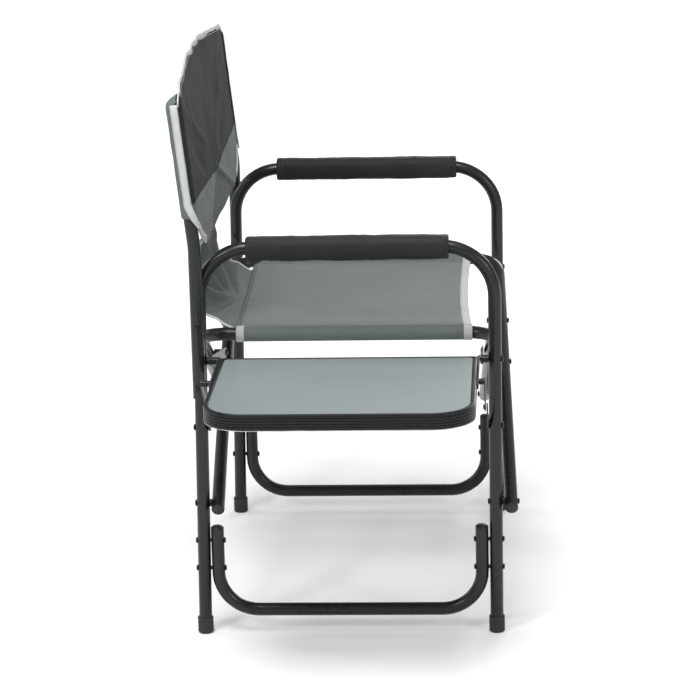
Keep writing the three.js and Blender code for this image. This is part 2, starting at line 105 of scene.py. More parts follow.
STAY_LOWER_X = {"rear": -202, "front": 209.8}
STAY_UPPER_X = {"rear": -199.4, "front": 207.2}
PIN_R = 3.0
BAR_T = 2.0
PIN_REACH = TUBE_R + 0.3  # from a tube's centre line to the head of a pin through it
COLLAR_R = 5.6
RIVET_HEAD = 5
SMALL_HEAD = 4.6
FLAT_HEAD = 4.4
UP = Vector((0, 0, 1))
X_AXIS = Vector((1, 0, 0))
SIDES = (("right", -1), ("left", 1))
ENDS = (("rear", -1), ("front", 1))


def at(x, y, z):
    """A point of the chair in metres, in the row frame."""
    return Vector((x, y, z)) / 1000 + OFFSET


def leg_x(end, z):
    """A leg's centre line at height z."""
    return -220 + 0.0162 * z if end == "rear" else 220 + 0.0033 * z


def cross_x(end, s, way):
    """A crossed tube's centre line at s along it; way is which side of the legs it stands on."""
    return leg_x(end, FOLD_Z) + way * (2 * TUBE_R + CROSS_GAP - CROSS_SLANT * s / CROSS_L)


def bell(x, width):
    return math.exp(-((x / width) ** 2))


def clamp(x):
    return max(0.0, min(1.0, x))


def wave(x, y, z):
    return noise.noise(Vector((x, y, z)))


# ---- Materials ----


class Nodes:
    """A small helper that adds nodes to one material and links them."""

    def __init__(self, name, slot_colour, roughness, metallic=0.0):
        self.material = bpy.data.materials.new(name)
        self.material.use_nodes = True
        self.tree = self.material.node_tree
        self.shader = self.tree.nodes["Principled BSDF"]
        self.set("Base Color", (*slot_colour, 1))
        self.set("Roughness", roughness)
        self.set("Metallic", metallic)

    def set(self, socket, value):
        self.shader.inputs[socket].default_value = value

    def add(self, kind, **values):
        node = self.tree.nodes.new(kind)
        for key, value in values.items():
            if key in node.inputs:
                node.inputs[key].default_value = value
            else:
                setattr(node, key, value)
        return node

    def link(self, a, b):
        self.tree.links.new(a, b)

    def drive(self, socket, output):
        self.link(output, self.shader.inputs[socket])

    def tint(self, factor, colour, low, high, stops=(0.3, 0.7)):
        """Base colour between low and high times the colour, as the factor passes from stop to stop."""
        node = self.add("ShaderNodeValToRGB")
        for element, stop, share in zip(node.color_ramp.elements, stops, (low, high)):
            element.position = stop
            element.color = (*(c * share for c in colour), 1)
        self.link(factor, node.inputs["Fac"])
        self.drive("Base Color", node.outputs["Color"])

    def coords(self, kind="Object", scale=(1, 1, 1)):
        source = self.add("ShaderNodeTexCoord")
        mapping = self.add("ShaderNodeMapping")
        mapping.inputs["Scale"].default_value = scale
        self.link(source.outputs[kind], mapping.inputs["Vector"])
        return mapping.outputs["Vector"]

    def noise(self, vector, scale, detail=3.0, roughness=0.5):
        node = self.add("ShaderNodeTexNoise", Scale=scale, Detail=detail, Roughness=roughness)
        self.link(vector, node.inputs["Vector"])
        return node.outputs["Fac"]

    def math(self, operation, a, b=0.0):
        node = self.add("ShaderNodeMath", operation=operation)
        for i, value in enumerate((a, b)):
            if isinstance(value, (int, float)):
                node.inputs[i].default_value = value
            else:
                self.link(value, node.inputs[i])
        return node.outputs[0]

    def spread(self, factor, low, high):
        node = self.add("ShaderNodeMapRange", **{"To Min": low, "To Max": high})
        self.link(factor, node.inputs["Value"])
        return node.outputs["Result"]

    def bump(self, height, strength, distance, after=None):
        node = self.add("ShaderNodeBump", Strength=strength, Distance=distance)
        self.link(height, node.inputs["Height"])
        if after is not None:
            self.link(after, node.inputs["Normal"])
        return node.outputs["Normal"]


def painted_steel(name, colour, roughness):
    """Satin powder coat: a fine pebbled skin, a little cloudiness and small scuffs."""
    n = Nodes(name, colour, roughness)
    where = n.coords()
    cloud = n.noise(where, 9, 4)
    n.tint(cloud, colour, 0.85, 1.2)
    scuffs = n.noise(n.coords(scale=(1, 1, 0.25)), 160, 5, 0.7)
    rough = n.math("ADD", n.spread(cloud, roughness - 0.05, roughness + 0.05), n.spread(scuffs, -0.05, 0.06))
    n.drive("Roughness", rough)
    n.drive("Normal", n.bump(n.noise(where, 900, 2), 0.12, 0.0003))
    n.set("Specular IOR Level", 0.38)
    return n.material


def woven_cloth(name, colour, yarn, roughness, sheen, contrast, wrinkle, gloss=0.22):
    """Plain-weave polyester: yarns over and under each other, slubs, soft mottling and fine creases."""
    n = Nodes(name, colour, roughness)
    n.set("Sheen Weight", sheen)
    n.set("Sheen Roughness", 0.45)
    n.set("Specular IOR Level", gloss)
    uv = n.coords("UV")
    axes = n.add("ShaderNodeSeparateXYZ")
    n.link(uv, axes.inputs[0])
    turn = math.pi / yarn
    warp = n.math("SINE", n.math("MULTIPLY", axes.outputs["X"], turn))
    weft = n.math("SINE", n.math("MULTIPLY", axes.outputs["Y"], turn))
    over = n.math("MULTIPLY", warp, weft)
    mottle = n.noise(uv, 45, 4, 0.6)
    slub = n.noise(n.coords("UV", (60, 900, 1)), 1.0, 2)
    tone = n.math("ADD", n.math("MULTIPLY", over, 0.25), n.math("ADD", mottle, n.math("MULTIPLY", slub, 0.5)))
    n.tint(n.math("MULTIPLY", tone, 0.8), colour, 1 - contrast, 1 + contrast, (0.35, 1.05))
    creases = n.noise(n.coords("UV", (14, 9, 1)), 2.2, 5, 0.55)
    soft = n.bump(creases, wrinkle, 0.004)
    n.drive("Normal", n.bump(over, 0.35, 0.0004, soft))
    return n.material


def rubbed_steel(name, colour):
    """Bare or darkened steel with a fine grain."""
    n = Nodes(name, colour, 0.35, 0.85)
    where = n.coords()
    grain = n.noise(where, 420, 3)
    n.drive("Roughness", n.spread(grain, 0.28, 0.5))
    n.tint(n.noise(where, 60, 3), colour, 0.7, 1.3)
    n.drive("Normal", n.bump(grain, 0.2, 0.0002))
    return n.material


def moulded(name, colour, roughness, grain_size=500, gloss=0.4):
    """Moulded rubber or plastic: a fine grain and slight scuffing."""
    n = Nodes(name, colour, roughness)
    n.set("Specular IOR Level", gloss)
    where = n.coords()
    grain = n.noise(where, grain_size, 3)
    dust = n.noise(where, 25, 4, 0.6)
    n.tint(dust, colour, 0.85, 1.25, (0.35, 0.75))
    n.drive("Roughness", n.spread(dust, roughness - 0.08, roughness + 0.08))
    n.drive("Normal", n.bump(grain, 0.25, 0.0002))
    return n.material


def laminate(name, colour):
    """A satin laminate with a very fine fleck and faint rub marks."""
    n = Nodes(name, colour, 0.3)
    where = n.coords()
    fleck = n.noise(where, 1400, 2)
    cloud = n.noise(where, 6, 3)
    tone = n.math("ADD", n.math("MULTIPLY", fleck, 0.35), n.math("MULTIPLY", cloud, 0.65))
    n.tint(tone, colour, 0.93, 1.07)
    rubs = n.noise(n.coords(scale=(1, 6, 1)), 30, 6, 0.7)
    n.drive("Roughness", n.spread(rubs, 0.24, 0.4))
    n.drive("Normal", n.bump(fleck, 0.05, 0.0001))
    return n.material


BLACK = painted_steel("satin_black_paint", (0.0062, 0.0070, 0.0074), 0.28)
BAR_BLACK = painted_steel("bar_black_paint", (0.012, 0.013, 0.014), 0.38)
RIVET = rubbed_steel("dark_rivet_steel", (0.018, 0.020, 0.021))
PLUG = moulded("black_plug_plastic", (0.012, 0.013, 0.014), 0.5)
RUBBER = moulded("foot_rubber", (0.020, 0.021, 0.022), 0.7, 700)
PAD_CLOTH = woven_cloth("pad_cloth", (0.011, 0.0125, 0.0125), 0.0009, 0.55, 0.03, 0.25, 0.25)
# The seat's own grey cloth, darkened where it wraps the rails: painted shade on the sleeves.
SEAT_SLEEVE_PAINTED_SHADE_CLOTH = woven_cloth("seat_sleeve_painted_shade_cloth", (0.106, 0.124, 0.122), 0.0010, 0.7, 0.04, 0.10, 0.2)
GREY_CLOTH = woven_cloth("grey_cloth", (0.126, 0.146, 0.143), 0.0010, 0.8, 0.05, 0.10, 0.2)
# The tail between the back's two lower creases: the lobes' grey cloth darkened, as painted shade.
TAIL_PAINTED_SHADE_CLOTH = woven_cloth("tail_painted_shade_cloth", (0.042, 0.051, 0.052), 0.0010, 0.8, 0.03, 0.12, 0.3)
FLAP_CLOTH = woven_cloth("flap_cloth", (0.094, 0.110, 0.110), 0.0010, 0.8, 0.03, 0.12, 0.25)
LOBE_CLOTH = woven_cloth("lobe_cloth", (0.090, 0.103, 0.102), 0.0010, 0.8, 0.03, 0.12, 0.3)
BLACK_CLOTH = woven_cloth("black_cloth", (0.0160, 0.0187, 0.0180), 0.0009, 0.75, 0.0, 0.2, 0.5, 0.08)
BINDING = woven_cloth("light_binding", (0.40, 0.415, 0.395), 0.0008, 0.8, 0.05, 0.14, 0.25)
SLEEVE_CLOTH = woven_cloth("sleeve_cloth", (0.095, 0.110, 0.110), 0.0010, 0.8, 0.03, 0.1, 0.3)
THREAD = woven_cloth("dark_thread", (0.045, 0.05, 0.052), 0.0004, 0.7, 0.1, 0.2, 0.0)
PALE_THREAD = woven_cloth("pale_thread", (0.30, 0.31, 0.30), 0.0004, 0.7, 0.1, 0.2, 0.0)
BLACK_THREAD = woven_cloth("black_thread", (0.03, 0.032, 0.034), 0.0004, 0.7, 0.1, 0.2, 0.0)
BOARD = laminate("blue_grey_laminate", (0.172, 0.198, 0.208))
EDGING = moulded("ribbed_edging", (0.007, 0.008, 0.0085), 0.38, 500, 0.22)
LIP = rubbed_steel("silver_lip", (0.42, 0.43, 0.44))


# ---- Meshes ----

STITCH_PITCH, STITCH_L, STITCH_LIFT = 5.0, 3.2, 0.5


def put(name, data):
    """A new object in the scene."""
    obj = bpy.data.objects.new(name, data)
    bpy.context.scene.collection.objects.link(obj)
    return obj


def make(name, vertices, faces, material, body=None, uvs=None, face_materials=None):
    """A smooth-shaded mesh object from points in metres, riding on a body."""
    mesh = bpy.data.meshes.new(name)
    mesh.from_pydata([tuple(v) for v in vertices], [], faces)
    mesh.update()
    for each in material if isinstance(material, (list, tuple)) else [material]:
        mesh.materials.append(each)
    if face_materials is not None:
        mesh.polygons.foreach_set("material_index", face_materials)
    mesh.polygons.foreach_set("use_smooth", [True] * len(mesh.polygons))
    if uvs is not None:
        layer = mesh.uv_layers.new(name="UVMap")
        for loop in mesh.loops:
            layer.data[loop.index].uv = uvs[loop.vertex_index]
    obj = put(name, mesh)
    if body:
        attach(obj, body)
    return obj


def sharpen(obj, degrees=35):
    """Smooth shading that keeps edges sharper than this angle."""
    mesh = obj.data
    counts = {}
    for polygon in mesh.polygons:
        for key in polygon.edge_keys:
            counts.setdefault(key, []).append(polygon.normal.copy())
    limit = math.cos(math.radians(degrees))
    for edge in mesh.edges:
        normals = counts.get(tuple(sorted(edge.vertices)), [])
        edge.use_edge_sharp = len(normals) == 2 and normals[0].dot(normals[1]) < limit
    return obj


def bent_path(corners, radius, steps=12):
    """Points and directions of straight runs joined by arcs, in millimetres."""
    corners = [Vector(c) for c in corners]
    path = [(corners[0], (corners[1] - corners[0]).normalized())]
    for before, corner, after in zip(corners, corners[1:], corners[2:]):
        into, out = (corner - before).normalized(), (after - corner).normalized()
        turn = into.angle(out)
        axis = into.cross(out).normalized()
        start = corner - into * radius * math.tan(turn / 2)
        centre = start + axis.cross(into) * radius
        for k in range(steps + 1):
            spin = Quaternion(axis, turn * k / steps)
            path.append((centre + spin @ (start - centre), spin @ into))
    path.append((corners[-1], (corners[-1] - corners[-2]).normalized()))
    return path


def sweep(path, section):
    """Sweeps a closed section of (side, up) points along a path, in millimetres. Returns points and faces."""
    vertices = []
    across = Vector((0, 1, 0))
    side = across - path[0][1] * across.dot(path[0][1])
    side.normalize()
    last = path[0][1]
    for point, direction in path:
        side = last.rotation_difference(direction) @ side
        up = direction.cross(side).normalized()
        last = direction
        vertices += [at(*(point + side * a + up * b)) for a, b in section]
    return vertices, shell_faces(len(path), len(section))


def ring(radius, sides):
    angles = [2 * math.pi * i / sides for i in range(sides)]
    return [(radius * math.cos(a), radius * math.sin(a)) for a in angles]


def tube(name, corners, radius, body, node):
    path = bent_path(corners, radius)
    vertices, faces = sweep(path, ring(TUBE_R, 28))
    obj = make(name, vertices, faces, BLACK, body)
    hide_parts(node)
    return sharpen(obj, 50)


def turned(name, profile, place, axis, material, body, node=None, sides=24):
    """A turned solid: profile is (distance along the axis, radius) from one end to the other."""
    axis = Vector(axis).normalized()
    side = axis.orthogonal().normalized()
    up = axis.cross(side)
    vertices = []
    for distance, radius in profile:
        middle = Vector(place) + axis * distance
        vertices += [at(*(middle + side * c + up * s)) for c, s in ring(radius, sides)]
    obj = make(name, vertices, shell_faces(len(profile), sides), material, body)
    if node:
        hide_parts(node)
    return sharpen(obj, 30)


def plug(name, profile, place, axis, body, node=None):
    return turned(name, profile, place, axis, PLUG, body, node)


def pin_head(size):
    """A rounded rivet head, as (height, radius) from its face to its top."""
    return [(0, size), (0.4, size), (1.2, size * 0.93), (2.1, size * 0.7), (2.4, size * 0.35)]


def pin(name, start, end, axis, place, body, node, heads=(RIVET_HEAD, RIVET_HEAD), collars=()):
    """A riveted pin with rounded heads, from start to end along its axis, with collars (from, to, radius)."""
    profile = [(start - h, r) for h, r in reversed(pin_head(heads[0]))] if heads[0] else []
    profile.append((start, PIN_R))
    for a, b, r in sorted(collars):
        profile += [(a, PIN_R), (a, r), (b, r), (b, PIN_R)]
    profile.append((end, PIN_R))
    profile += [(end + h, r) for h, r in pin_head(heads[1])] if heads[1] else []
    return turned(name, profile, place, axis, RIVET, body, node, 20)


def flat_bar(name, start, end, x, width, body, node):
    """A flat bar with round ends between two pins in a plane square to X, with softened edges."""
    (y0, z0), (y1, z1) = start, end
    angle = math.atan2(z1 - z0, y1 - y0)
    outline = []
    for (y, z), first in (((y0, z0), angle + math.pi / 2), ((y1, z1), angle - math.pi / 2)):
        outline += [(y, z, first + math.pi * i / 14) for i in range(15)]
    half, soft = BAR_T / 2, 0.4
    vertices = []
    for offset, inset in ((-half, soft), (-half + soft, 0), (half - soft, 0), (half, soft)):
        r = width / 2 - inset
        vertices += [at(x + offset, y + r * math.cos(a), z + r * math.sin(a)) for y, z, a in outline]
    obj = make(name, vertices, shell_faces(4, len(outline)), BAR_BLACK, body)
    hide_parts(node)
    return sharpen(obj, 40)


def grid_faces(rows, columns, wrap=False, start=0):
    """Quads between rows of points; wrap joins each row's last point to its first."""
    faces = []
    for i in range(rows - 1):
        for j in range(columns if wrap else columns - 1):
            k = (j + 1) % columns
            faces.append((start + i * columns + j, start + i * columns + k,
                          start + (i + 1) * columns + k, start + (i + 1) * columns + j))
    return faces


def shell_faces(rows, n):
    """Quads that join closed rows of n points, with a flat face at each end."""
    ends = [tuple(reversed(range(n))), tuple(range((rows - 1) * n, rows * n))]
    return grid_faces(rows, n, wrap=True) + ends


def soften(obj, thickness=0.0):
    """Gives a cloth its thickness and one subdivision, applied to the mesh."""
    if thickness:
        solid = obj.modifiers.new("thickness", "SOLIDIFY")
        solid.thickness = thickness / 1000
        solid.offset = 0
    smooth = obj.modifiers.new("smooth", "SUBSURF")
    smooth.levels = 1
    smooth.render_levels = 1
    evaluated = obj.evaluated_get(bpy.context.evaluated_depsgraph_get())
    mesh = bpy.data.meshes.new_from_object(evaluated)
    obj.modifiers.clear()
    obj.data = mesh
    return obj


def recalculate(obj):
    """Turns every face outward."""
    bm = bmesh.new()
    bm.from_mesh(obj.data)
    bmesh.ops.recalc_face_normals(bm, faces=bm.faces)
    bm.to_mesh(obj.data)
    bm.free()


def stitch_run(points, normals, radius):
    """Vertices and faces of a row of stitches along points, in millimetres."""
    vertices, faces = [], []
    lengths = np.cumsum([0] + [(b - a).length for a, b in zip(points, points[1:])])

    def along(d):
        i = min(int(np.searchsorted(lengths, d, side="right")) - 1, len(points) - 2)
        t = (d - lengths[i]) / max(lengths[i + 1] - lengths[i], 1e-9)
        return points[i].lerp(points[i + 1], t), normals[i].lerp(normals[i + 1], t).normalized()

    for c in range(int(lengths[-1] // STITCH_PITCH)):
        (a, na), (b, _) = along(c * STITCH_PITCH), along(c * STITCH_PITCH + STITCH_L)
        side = (b - a).normalized().cross(na).normalized()
        faces += grid_faces(4, 6, wrap=True, start=len(vertices))
        for share, size in ((0, 0.5), (0.25, 1), (0.75, 1), (1, 0.5)):
            spot = a.lerp(b, share) + na * (STITCH_LIFT if 0 < share < 1 else STITCH_LIFT * 0.1)
            vertices += [at(*(spot + side * p + na * q)) for p, q in ring(radius * size, 6)]
    return vertices, faces


def stitches(name, runs, material, radius=0.45):
    """One object for several rows of stitches."""
    vertices, faces = [], []
    for points, normals in runs:
        v, f = stitch_run(points, normals, radius)
        faces += [tuple(i + len(vertices) for i in face) for face in f]
        vertices += v
    uvs = [(v.x, v.y + v.z) for v in vertices]
    obj = make(name, vertices, faces, material, uvs=uvs)
    return obj


# ---- Tubes and fittings ----


def side_frames():
    for side, y in SIDES:
        body = f"{side}_frame"
        fy, post_y = y * FRAME_Y, y * POST_Y
        legs = [(leg_x(end, z), fy, z) for end, z in
                (("rear", TUBE_END_Z), ("rear", ARM_Z), ("front", ARM_Z), ("front", TUBE_END_Z))]
        tube(f"{side}_side_tube_smooth", legs, ARM_BEND_R, body, f"{side}_side_tube")
        back_post(side, body, post_y)
        brace = [(BRACE_X[end], fy, z) for end, z in
                 (("rear", BRACE_TOP_Z), ("rear", BRACE_Z), ("front", BRACE_Z), ("front", BRACE_TOP_Z))]
        tube(f"{side}_lower_brace_smooth", brace, BRACE_BEND_R, body, f"{side}_lower_brace")
        for end, out in ENDS:
            x = BRACE_X[end]
            plug(f"{side}_{end}_brace_plug", dome(4.2), (x, fy, BRACE_TOP_Z + 0.2), UP, body)
            for i, z in enumerate(BRACE_RIVET_Z):
                lo, hi = sorted((leg_x(end, z) + out * 10, x - out * 10))
                pin(f"{side}_{end}_brace_rivet_{i + 1}", lo, hi, X_AXIS, (0, fy, z), body, None,
                    (SMALL_HEAD, SMALL_HEAD))
        for i, z in enumerate(POST_RIVET_Z):
            x = (leg_x("rear", z) + POST_X) / 2
            lo, hi = sorted((y * (FRAME_Y - TUBE_R - 0.2), y * (POST_Y + TUBE_R + 0.2)))
            name = f"{side}_post_rivet_{i + 1}"
            pin(f"{name}_round", lo, hi, (0, 1, 0), (x, 0, z), body, name)
        for end, _ in ENDS:
            foot(side, end, body, fy)


def back_post(side, body, y):
    top_x = POST_X - POST_LEAN * (POST_TOP_Z - POST_BEND_Z)
    corners = [(POST_X, y, POST_END_Z), (POST_X, y, POST_BEND_Z), (top_x, y, POST_TOP_Z)]
    tube(f"{side}_back_post_smooth", corners, POST_BEND_R, body, f"{side}_back_post")
    rim = [(-1.2, 7.5), (-1.2, 9.9), (0.8, 9.9), (0.8, 7.5)]
    plug(f"{side}_post_end", rim, (POST_X, y, POST_END_Z), UP, body)
    plug(f"{side}_post_cap_dome", dome(4.8), (top_x - 0.04, y, POST_TOP_Z + 0.4), (-POST_LEAN, 0, 1), body,
         f"{side}_post_cap")


def dome(height):
    """The rounded end of a plug in a tube, as (distance, radius)."""
    shape = ((0.35, 0.94), (0.7, 0.74), (0.93, 0.42), (1, 0.1))
    return [(0, TUBE_R * 0.96), (0.3, TUBE_R)] + [(height * h, TUBE_R * r) for h, r in shape]


def foot(side, end, body, fy):
    """A rubber cup with a rounded sole, a raised collar and a soft step at its mouth."""
    profile = [(0, 8.5), (0.3, 10.4), (1.6, 11.5), (3, 11.8), (5.5, 11.8), (6.2, 11.45), (7, 11.45),
               (7.7, 11.8), (21, 11.7), (22, 11.9), (24, 11.9), (24.8, 11.5), (25, 10.9), (25, 10.1)]
    turned(f"{side}_{end}_foot_cup", profile, (leg_x(end, 12.5), fy, 0), UP, RUBBER, body,
           f"{side}_{end}_foot", 32)


def crossed_tubes():
    for name, y, body in (("a", -1, "cross_a"), ("b", 1, "cross_b")):
        def spot(end, s):
            return (cross_x(end, s, -y), y * (FRAME_Y - CROSS_DY * s), FOLD_Z + CROSS_DZ * s)
        corners = [spot(end, s) for end, s in
                   (("rear", -CROSS_TAIL), ("rear", CROSS_L), ("front", CROSS_L), ("front", -CROSS_TAIL))]
        node = f"crossed_tube_{name}"
        tube(f"{node}_smooth", corners, CROSS_BEND_R, body, node)
        for end, out in ENDS:
            plug(f"tube_{name}_{end}_plug_dome", dome(4.6), spot(end, -CROSS_TAIL - 0.2),
                 (0, y * CROSS_DY, -CROSS_DZ), body, f"tube_{name}_{end}_plug")
            x, cy, cz = spot(end, LINK_PIN_S)
            heads = (SMALL_HEAD, 0) if out < 0 else (0, SMALL_HEAD)
            pin(f"tube_{name}_{end}_link_head", x - PIN_REACH, x + PIN_REACH, X_AXIS, (0, cy, cz), body,
                None, heads)


def tube_pair_pin(name, xs, place, body, flush=False):
    """A pin through two tubes and the gap between them; flush leaves off its front head."""
    low, high = sorted(xs)
    end = high + TUBE_R - 0.4 if flush else high + PIN_REACH
    heads = (RIVET_HEAD, 0 if flush else RIVET_HEAD)
    collars = [(low + PIN_REACH, high - PIN_REACH, 5.8)]
    pin(f"{name}_round", low - PIN_REACH, end, X_AXIS, place, body, name, heads, collars)


def pins_and_links():
    for end, out in ENDS:
        centre = (0, 0, FOLD_Z + CROSS_DZ * CENTRE_S)
        tube_pair_pin(f"{end}_centre_pin", [cross_x(end, CENTRE_S, y) for y in (-1, 1)], centre, "cross_a")
        for side, y in SIDES:
            fy = y * FRAME_Y
            xs = [leg_x(end, FOLD_Z), cross_x(end, 0, -y)]
            flush = (side, end) == ("right", "rear")
            tube_pair_pin(f"{side}_{end}_fold_pin", xs, (0, fy, FOLD_Z), f"{side}_frame", flush)
            hinge_pin(side, end, out, fy)
            link_x, half = LINK_X[end][side], out * 1.3
            tip = (y * (LINK_PIN_S - CENTRE_S) * CROSS_DY, FOLD_Z + LINK_PIN_S * CROSS_DZ)
            link = f"{side}_{end}_link"
            flat_bar(f"{link}_bar", (fy, HINGE_Z), tip, link_x, 16, f"{side}_links", link)
            face = cross_x(end, LINK_PIN_S, y) - out * (TUBE_R + 0.9)
            spaced = out * (face - link_x) > 2
            spans = [(link_x + half, face, COLLAR_R)] if spaced else []
            outer = face if spaced else link_x + out * 0.9
            x_pin(f"{link}_rivet", out, outer, link_x - half, (0, RIVET_HEAD), spans, (0, *tip),
                  f"{side}_links")


def hinge_pin(side, end, out, fy):
    """The pin on a leg that carries a link and, on the right, the table's bracket."""
    link_x, bracket_x, half = LINK_X[end][side], BRACKET_X[end], out * 1.3
    leg = leg_x(end, HINGE_Z) + out * 10.1
    spans = [(leg - out * 20.2, link_x + half, COLLAR_R)]
    inner = link_x - half
    if side == "right":
        spans.append((inner, bracket_x + half, COLLAR_R))
        inner = bracket_x - half
    x_pin(f"{side}_{end}_hinge_pin", out, leg, inner, (RIVET_HEAD, FLAT_HEAD), spans, (0, fy, HINGE_Z),
          f"{side}_frame")


def x_pin(name, out, outer, inner, heads, spans, place, body):
    """A pin along X, given from its outer end to its inner one."""
    spans = [(min(a, b), max(a, b), r) for a, b, r in spans]
    if out > 0:
        outer, inner, heads = inner, outer, (heads[1], heads[0])
    return pin(f"{name}_round", outer, inner, X_AXIS, place, body, name, heads, spans)


# ---- Side table ----


TABLE_REAR, TABLE_FRONT = -183.5, 196.4
TABLE_BACK_Y, TABLE_OUTER_Y = -302, -610
TABLE_CORNER_R, TABLE_BACK_R = 62, 3.0


def table_loop(inset):
    """The table's outline from above, drawn in by inset."""
    rear, front = TABLE_REAR + inset, TABLE_FRONT - inset
    back, outer = TABLE_BACK_Y - inset - TABLE_BACK_R, TABLE_OUTER_Y + TABLE_CORNER_R
    r, small = TABLE_CORNER_R - inset, TABLE_BACK_R
    corners = [(rear + small, back, small, 90, 4), (rear + r, outer, r, 180, 14),
               (front - r, outer, r, 270, 14), (front - small, back, small, 0, 4)]
    loop = []
    for cx, cy, radius, first, count in corners:
        for i in range(count + 1):
            angle = math.radians(first + 90 * i / count)
            loop.append((cx + radius * math.cos(angle), cy + radius * math.sin(angle)))
    return loop


def loop_solid(name, rings, material, node=None, capped=False):
    """Joins rings of (inset, z) round the table's outline into one shell."""
    loops = [[at(x, y, z) for x, y in table_loop(inset)] for inset, z in rings]
    n = len(loops[0])
    faces = shell_faces(len(rings), n) if capped else grid_faces(len(rings), n, wrap=True)
    obj = make(name, [v for loop in loops for v in loop], faces, material, "table")
    if node:
        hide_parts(node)
    return sharpen(obj, 28)


def side_table():
    ribs = []
    for i in range(4):
        z = 424.5 - i * 4.1
        ribs += [(0.1, z), (0, z - 0.6), (0, z - 2.6), (0.1, z - 3.2), (1.3, z - 3.6), (1.3, z - 3.9)]
    top = [(7.2, 429.0), (6.4, 429.9), (4.8, 430.2), (2.0, 430.1), (0.7, 429.3), (0.1, 427.6), (0.1, 425.4)]
    edging = top + [(1.2, 425.0)] + ribs + [(0.4, 408.2), (7.2, 408.0)]
    rings = list(reversed(edging))
    loop_solid("table_edging_ribbed", rings + [rings[0]], EDGING, "table_edging")
    lip = [(7.0, 407.7), (7.0, 406.6), (1.2, 406.5), (0.5, 406.9), (0.5, 407.7), (7.0, 407.7)]
    loop_solid("table_silver_lip", lip, LIP)
    board = [(7.4, 419.5), (7.4, 428.8), (7.9, 429.3)]
    loop_solid("table_board_top", board, BOARD, "table_board", capped=True)
    for end, out in ENDS:
        bracket = BRACKET_X[end]
        node = f"table_{end}_bracket"
        flat_bar(f"{node}_bar", (-FRAME_Y, HINGE_Z), (-FRAME_Y - 146, HINGE_Z), bracket, 12, "table", node)
        stay(end, out, bracket)


def stay(end, out, bracket):
    """Two bars from the leg to the table, and their three pins."""
    lower, upper = STAY_LOWER_X[end], STAY_UPPER_X[end]
    foot_pin, top_pin = (-FRAME_Y, STAY_Z), (-FRAME_Y - STAY_REACH, HINGE_Z)
    angle = math.atan2(HINGE_Z - STAY_Z, -STAY_REACH)
    knee = (-FRAME_Y + STAY_LOWER_L * math.cos(angle), STAY_Z + STAY_LOWER_L * math.sin(angle))
    flat_bar(f"{end}_stay_lower_bar", foot_pin, knee, lower, 12, "stay_lowers", f"{end}_stay_lower")
    flat_bar(f"{end}_stay_upper_bar", top_pin, knee, upper, 12, "stay_uppers", f"{end}_stay_upper")
    leg = leg_x(end, STAY_Z)
    spans = [(leg - out * 10.1, lower + out * 1.2, COLLAR_R)] if abs(leg - lower) > 12 else []
    x_pin(f"{end}_stay_leg_pin", out, leg + out * 10, lower - out * 0.9, (RIVET_HEAD, 0), spans,
          (0, *foot_pin), "right_frame")
    x_pin(f"{end}_stay_table_pin", out, upper + out * 0.9, bracket - out * 0.9, (0, 0),
          [(upper - out * 1.3, bracket + out * 1.3, FLAT_HEAD)], (0, *top_pin), "table")
    x_pin(f"{end}_stay_knuckle", out, upper + out * 0.9, upper - out * 1.2, (0, FLAT_HEAD), [], (0, *knee),
          "stay_uppers")


# ---- Arm pads ----


PAD_BACK, PAD_FRONT = -141.0, 156.0
PAD_SQUARE = 2 / 3.1  # the power that makes a round section softly square
PAD_AROUND = 40
PAD_UV_R = 0.0165


def pad_round(x, y, a, half_y, half_z, grow=1.0):
    """A point of the pad's softly square section at angle a."""
    c, s = math.cos(a), math.sin(a)
    py = half_y * math.copysign(abs(c) ** PAD_SQUARE, c)
    pz = half_z * math.copysign(abs(s) ** PAD_SQUARE, s)
    return Vector((x, y * FRAME_Y + py * grow, ARM_Z - 0.5 + pz * grow))


def pad_growth(x, y, a):
    """How far the cover swells at a place: it draws in at its hems and seams, with puckers and soft waves."""
    edge = min(x - PAD_BACK, PAD_FRONT - x)
    full = 1 - 0.05 * bell(edge, 4) - 0.05 * bell(edge - 11, 2.2)
    c, s = math.cos(a), math.sin(a)
    soft = 0.9 * wave(x / 40, c * 1.4 + y * 3, s * 1.4) + 0.5 * wave(x / 11, c * 2.5, s * 2.5 + y * 7)
    return full + (soft + 0.5 * math.sin(a * 11) * bell(edge, 11)) / 17


def arm_pads():
    """A foam sleeve in black cloth: softly square, gathered at its two hemmed ends."""
    angles = [2 * math.pi * j / PAD_AROUND for j in range(PAD_AROUND)]
    xs = [PAD_BACK + (PAD_FRONT - PAD_BACK) * i / 74 for i in range(75)]
    for side, y in SIDES:
        vertices = [at(*pad_round(x, y, a, 16.6, 17.8, pad_growth(x, y, a))) for x in xs for a in angles]
        uvs = [(x / 1000, a * PAD_UV_R) for x in xs for a in angles]
        faces = grid_faces(len(xs), PAD_AROUND, wrap=True)
        for x, row in ((PAD_BACK, 0), (PAD_FRONT, len(xs) - 1)):
            pad_end(vertices, uvs, faces, at(x, y * FRAME_Y, ARM_Z), row)
        obj = make(f"{side}_arm_pad_cover", vertices, faces, PAD_CLOTH, uvs=uvs)
        recalculate(obj)
        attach(soften(obj), f"{side}_frame")
        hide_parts(f"{side}_arm_pad")
        pad_seams(side, y)


def pad_end(vertices, uvs, faces, centre, row):
    """Turns a row of the cover in towards the tube, and then along it."""
    first = len(vertices)
    for share, step in ((0.80, 0.225), (0.63, 0.375), (0, 12)):
        for j in range(PAD_AROUND):
            v = vertices[row * PAD_AROUND + j]
            away = v - centre
            away.x = 0
            radius = away.length * share if share else 0.0102
            spot = centre + away.normalized() * max(radius, 0.0101)
            spot.x = v.x + step / 1000 * (-1 if row else 1)
            vertices.append(spot)
            uvs.append((v.x + radius, 2 * math.pi * j / PAD_AROUND * PAD_UV_R))
    loops = [row * PAD_AROUND] + [first + k * PAD_AROUND for k in range(3)]
    for a, b in zip(loops, loops[1:]):
        for j in range(PAD_AROUND):
            k = (j + 1) % PAD_AROUND
            quad = (a + j, a + k, b + k, b + j)
            faces.append(quad if row else tuple(reversed(quad)))


